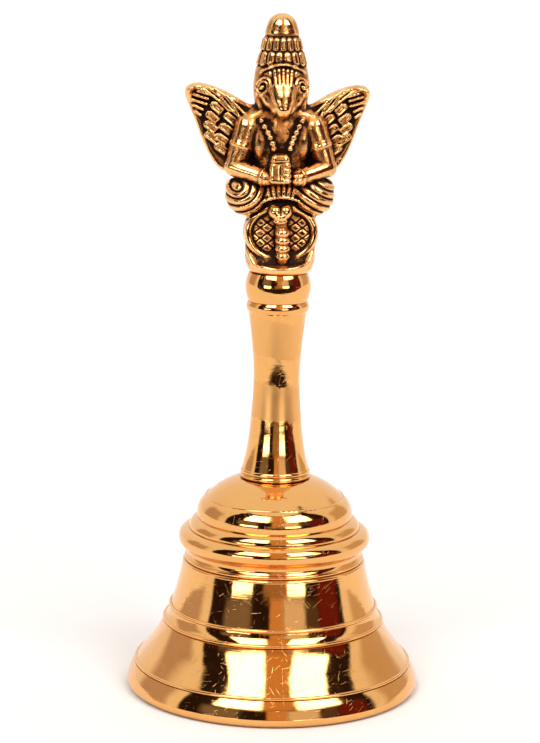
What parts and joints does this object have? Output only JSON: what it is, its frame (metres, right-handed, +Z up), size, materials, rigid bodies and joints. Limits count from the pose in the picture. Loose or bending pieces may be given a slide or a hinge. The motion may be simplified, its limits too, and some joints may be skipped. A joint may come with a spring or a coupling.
{
  "type": "hand bell",
  "caption": "Small brass prayer hand bell: flared ridged bell with a hung ball clapper, slim turned grip and a cast winged bird-headed finial.",
  "frame": {"origin": "centre of the mouth, on the plane of the lip the bell stands on", "axes": "+Z up the grip to the tip of the finial; the figure on the finial faces -Y; +X is the figure's left-hand side, the viewer's right"},
  "size_m": [0.0696, 0.0696, 0.16],
  "materials": {
    "brass_polished": "turned and polished, warm gold with fine turning marks",
    "brass_antiqued": "cast, satin copper-toned with black patina in the recesses",
    "brass_clapper": "turned, dull",
    "steel": "plain zinc-grey steel, slightly worn"
  },
  "bodies": {
    "bell": {"bell_shell": "brass_polished", "handle_stem": "brass_polished", "garuda_finial": "brass_antiqued", "eye_bolt": "steel", "crown_washer": "steel", "crown_nut": "steel"},
    "link": {"clapper_link": "steel"},
    "clapper": {"clapper_rod": "steel", "clapper_ball": "brass_clapper"}
  },
  "joints": [
    {"name": "link_turn", "type": "hinge", "parent": "bell", "child": "link", "pos_m": [0, 0, 0.03205], "axis": [0, 0, 1], "range_deg": [-30, 30]},
    {"name": "clapper_swing", "type": "hinge", "parent": "link", "child": "clapper", "pos_m": [0, 0, 0.03205], "axis": [0, 1, 0], "range_deg": [-42, 42]}
  ]
}
